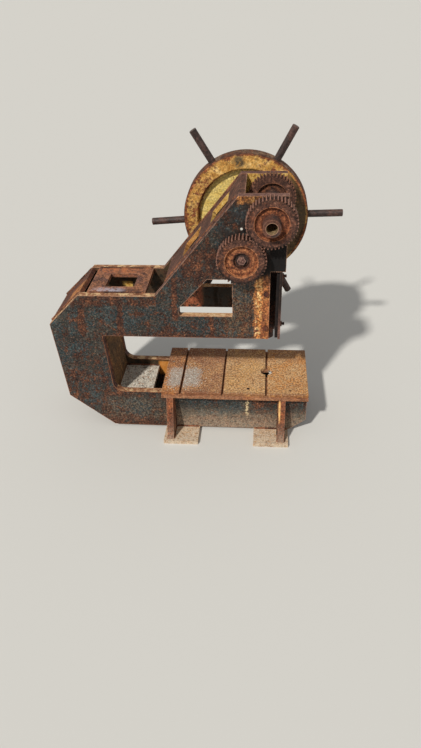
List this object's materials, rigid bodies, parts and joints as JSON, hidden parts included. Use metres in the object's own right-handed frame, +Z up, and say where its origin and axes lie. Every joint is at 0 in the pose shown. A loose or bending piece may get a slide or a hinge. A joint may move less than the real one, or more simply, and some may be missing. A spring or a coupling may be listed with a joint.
{
  "type": "manual stamping press",
  "caption": "C-frame bench-height stamping press: a spoked handwheel turns meshed gears and an eccentric that moves a guided ram over a slotted table.",
  "frame": {"origin": "on the floor under the ram's axis, midway between the side plates", "axes": "+X along the arms, from the throat's back to the arm's free end; +Y from the gears' side to the wheel's side; +Z up"},
  "size_m": [1.0207, 0.485, 1.0418],
  "materials": {
    "body_paint": "worn dark slate paint over rust, matt",
    "cross_paint": "purple-brown worn paint and rust, matt",
    "table_rust": "tan rust with a dusting of cement, matt",
    "foot_dust": "brown rust and dust, matt",
    "gear_rust": "orange-brown rust, matt",
    "wheel_paint": "ochre yellow paint, chipped and rusty",
    "rod_steel": "dark brown-black worn steel",
    "guide_steel": "dark oily rusty steel",
    "bronze": "dull bearing bronze"
  },
  "bodies": {
    "frame": {"side_plate_front": "body_paint", "side_plate_back": "body_paint", "spine_plate": "cross_paint", "heel_plate": "cross_paint", "chamfer_plate": "cross_paint", "throat_plate": "cross_paint", "top_plate": "cross_paint", "incline_plate": "cross_paint", "arm_floor_plate": "foot_dust", "table_base": "table_rust", "table_strip_1": "table_rust", "table_strip_2": "table_rust", "table_strip_3": "table_rust", "table_strip_4": "table_rust", "foot_left": "foot_dust", "foot_right": "foot_dust", "gusset_left_front": "body_paint", "gusset_left_back": "body_paint", "gusset_right_front": "body_paint", "gusset_right_back": "body_paint", "guide_web": "guide_steel", "keeper_front": "guide_steel", "keeper_back": "guide_steel", "gib": "guide_steel", "gib_screws": "guide_steel", "head_end_plate": "guide_steel", "guide_bolts": "guide_steel", "bush_lower_front": "bronze", "bush_lower_back": "bronze", "bush_upper_front": "bronze", "bush_upper_back": "bronze"},
    "wheel": {"lower_shaft": "guide_steel", "gear_lower_front": "gear_rust", "gear_lower_back": "gear_rust", "wheel": "wheel_paint", "wheel_spacer": "guide_steel", "handle_1": "rod_steel", "handle_2": "rod_steel", "handle_3": "rod_steel", "handle_4": "rod_steel", "handle_5": "rod_steel", "handle_6": "rod_steel", "lower_keys": "guide_steel", "washer_front": "guide_steel", "bolt_front": "guide_steel", "washer_rear": "guide_steel", "bolt_rear": "guide_steel"},
    "crank": {"upper_shaft": "guide_steel", "gear_upper_front": "gear_rust", "gear_upper_back": "gear_rust", "upper_keys": "guide_steel", "collar": "guide_steel", "collar_screw": "guide_steel"},
    "ram": {"ram": "guide_steel", "ram_cap": "guide_steel", "cap_bolts": "guide_steel", "tool_holder": "guide_steel", "clamp_screw": "guide_steel"}
  },
  "joints": [
    {"name": "wheel_turn", "type": "hinge", "parent": "frame", "child": "wheel", "pos_m": [-0.09, 0, 0.73338], "axis": [0, 1, 0], "range_deg": [0, 180]},
    {"name": "crank_turn", "type": "hinge", "parent": "frame", "child": "crank", "pos_m": [0, 0, 0.854], "axis": [0, 1, 0], "range_deg": [-180, 0]},
    {"name": "ram_slide", "type": "slide", "parent": "frame", "child": "ram", "axis": [0, 0, 1], "range_m": [0, 0.02]}
  ],
  "couplings": [
    {"joint": "crank_turn", "follows": "wheel_turn", "ratio": -1},
    {"joint": "ram_slide", "follows": "wheel_turn", "m_per_rad": 0.006366}
  ]
}
